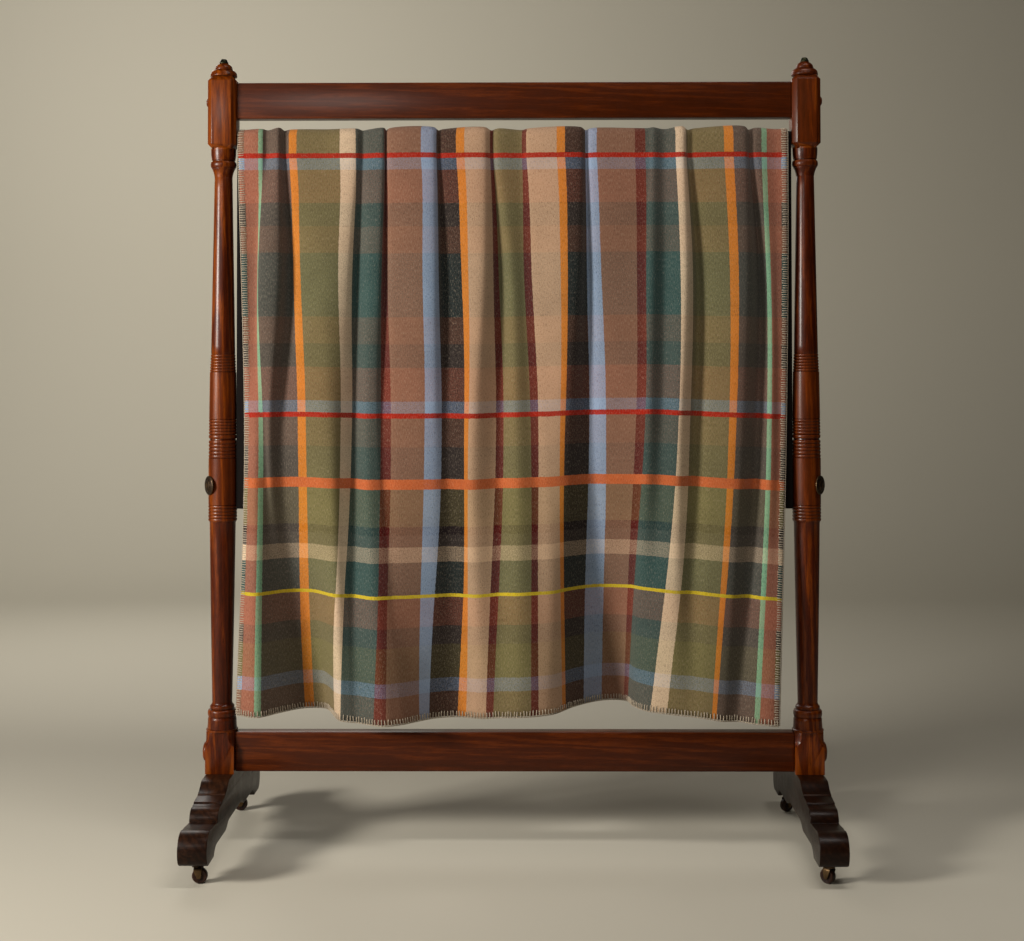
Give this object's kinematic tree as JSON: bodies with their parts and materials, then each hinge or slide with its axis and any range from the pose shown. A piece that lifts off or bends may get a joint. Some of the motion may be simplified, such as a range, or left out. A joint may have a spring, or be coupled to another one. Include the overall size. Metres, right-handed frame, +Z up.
{
  "type": "throw blanket hung on a wooden display stand",
  "caption": "Woven wool throw with a checked pattern and stitched edge, hung over the rail of a turned wooden stand on small swivelling castors.",
  "frame": {"origin": "centre of the footprint on the floor", "axes": "+Z up along the posts, +X to the right seen from the front, front of the throw towards -Y"},
  "size_m": [1.3296, 0.616, 1.6791],
  "materials": {
    "wool": "soft felted woven wool in a many-coloured check, matt",
    "polished_wood": "red-brown stained wood with an aged gloss polish",
    "dark_wood": "very dark brown stained wood, glossy",
    "castor_wood": "worn dark wooden castor wheel",
    "aged_brass": "aged brass, dull with brighter edges",
    "green_bronze": "dark bronze with green tarnish"
  },
  "bodies": {
    "root": {"throw": "wool", "hanging_rail": "polished_wood", "arm_left": "polished_wood", "arm_right": "polished_wood", "top_rail": "polished_wood", "bottom_rail": "polished_wood", "post_left": "polished_wood", "post_right": "polished_wood", "finial_left": "polished_wood", "finial_right": "polished_wood", "plug_upper_left": "polished_wood", "plug_upper_right": "polished_wood", "plug_lower_left": "polished_wood", "plug_lower_right": "polished_wood", "clamp_screw_left": "aged_brass", "clamp_screw_right": "aged_brass", "pivot_left": "aged_brass", "pivot_right": "aged_brass", "finial_button_left": "green_bronze", "finial_button_right": "green_bronze", "foot_left": "dark_wood", "foot_right": "dark_wood", "castor_left_front_plate": "aged_brass", "castor_left_back_plate": "aged_brass", "castor_right_front_plate": "aged_brass", "castor_right_back_plate": "aged_brass"},
    "castor_left_front_horn": {"castor_left_front_horn": "aged_brass"},
    "castor_left_front_wheel": {"castor_left_front_wheel": "castor_wood"},
    "castor_left_back_horn": {"castor_left_back_horn": "aged_brass"},
    "castor_left_back_wheel": {"castor_left_back_wheel": "castor_wood"},
    "castor_right_front_horn": {"castor_right_front_horn": "aged_brass"},
    "castor_right_front_wheel": {"castor_right_front_wheel": "castor_wood"},
    "castor_right_back_horn": {"castor_right_back_horn": "aged_brass"},
    "castor_right_back_wheel": {"castor_right_back_wheel": "castor_wood"}
  },
  "joints": [
    {"name": "castor_left_front_swivel", "type": "hinge", "parent": "root", "child": "castor_left_front_horn", "pos_m": [-0.625, -0.262, 0.039], "axis": [0, 0, 1], "continuous": true},
    {"name": "castor_left_front_roll", "type": "hinge", "parent": "castor_left_front_horn", "child": "castor_left_front_wheel", "pos_m": [-0.618, -0.262, 0.0153], "axis": [0, 1, 0], "continuous": true},
    {"name": "castor_left_back_swivel", "type": "hinge", "parent": "root", "child": "castor_left_back_horn", "pos_m": [-0.625, 0.262, 0.039], "axis": [0, 0, 1], "continuous": true},
    {"name": "castor_left_back_roll", "type": "hinge", "parent": "castor_left_back_horn", "child": "castor_left_back_wheel", "pos_m": [-0.632, 0.262, 0.0153], "axis": [0, -1, 0], "continuous": true},
    {"name": "castor_right_front_swivel", "type": "hinge", "parent": "root", "child": "castor_right_front_horn", "pos_m": [0.625, -0.262, 0.039], "axis": [0, 0, 1], "continuous": true},
    {"name": "castor_right_front_roll", "type": "hinge", "parent": "castor_right_front_horn", "child": "castor_right_front_wheel", "pos_m": [0.62005, -0.25705, 0.0153], "axis": [-0.7071, -0.7071, 0], "continuous": true},
    {"name": "castor_right_back_swivel", "type": "hinge", "parent": "root", "child": "castor_right_back_horn", "pos_m": [0.625, 0.262, 0.039], "axis": [0, 0, 1], "continuous": true},
    {"name": "castor_right_back_roll", "type": "hinge", "parent": "castor_right_back_horn", "child": "castor_right_back_wheel", "pos_m": [0.61927, 0.25799, 0.0153], "axis": [0.5736, -0.8192, 0], "continuous": true}
  ]
}
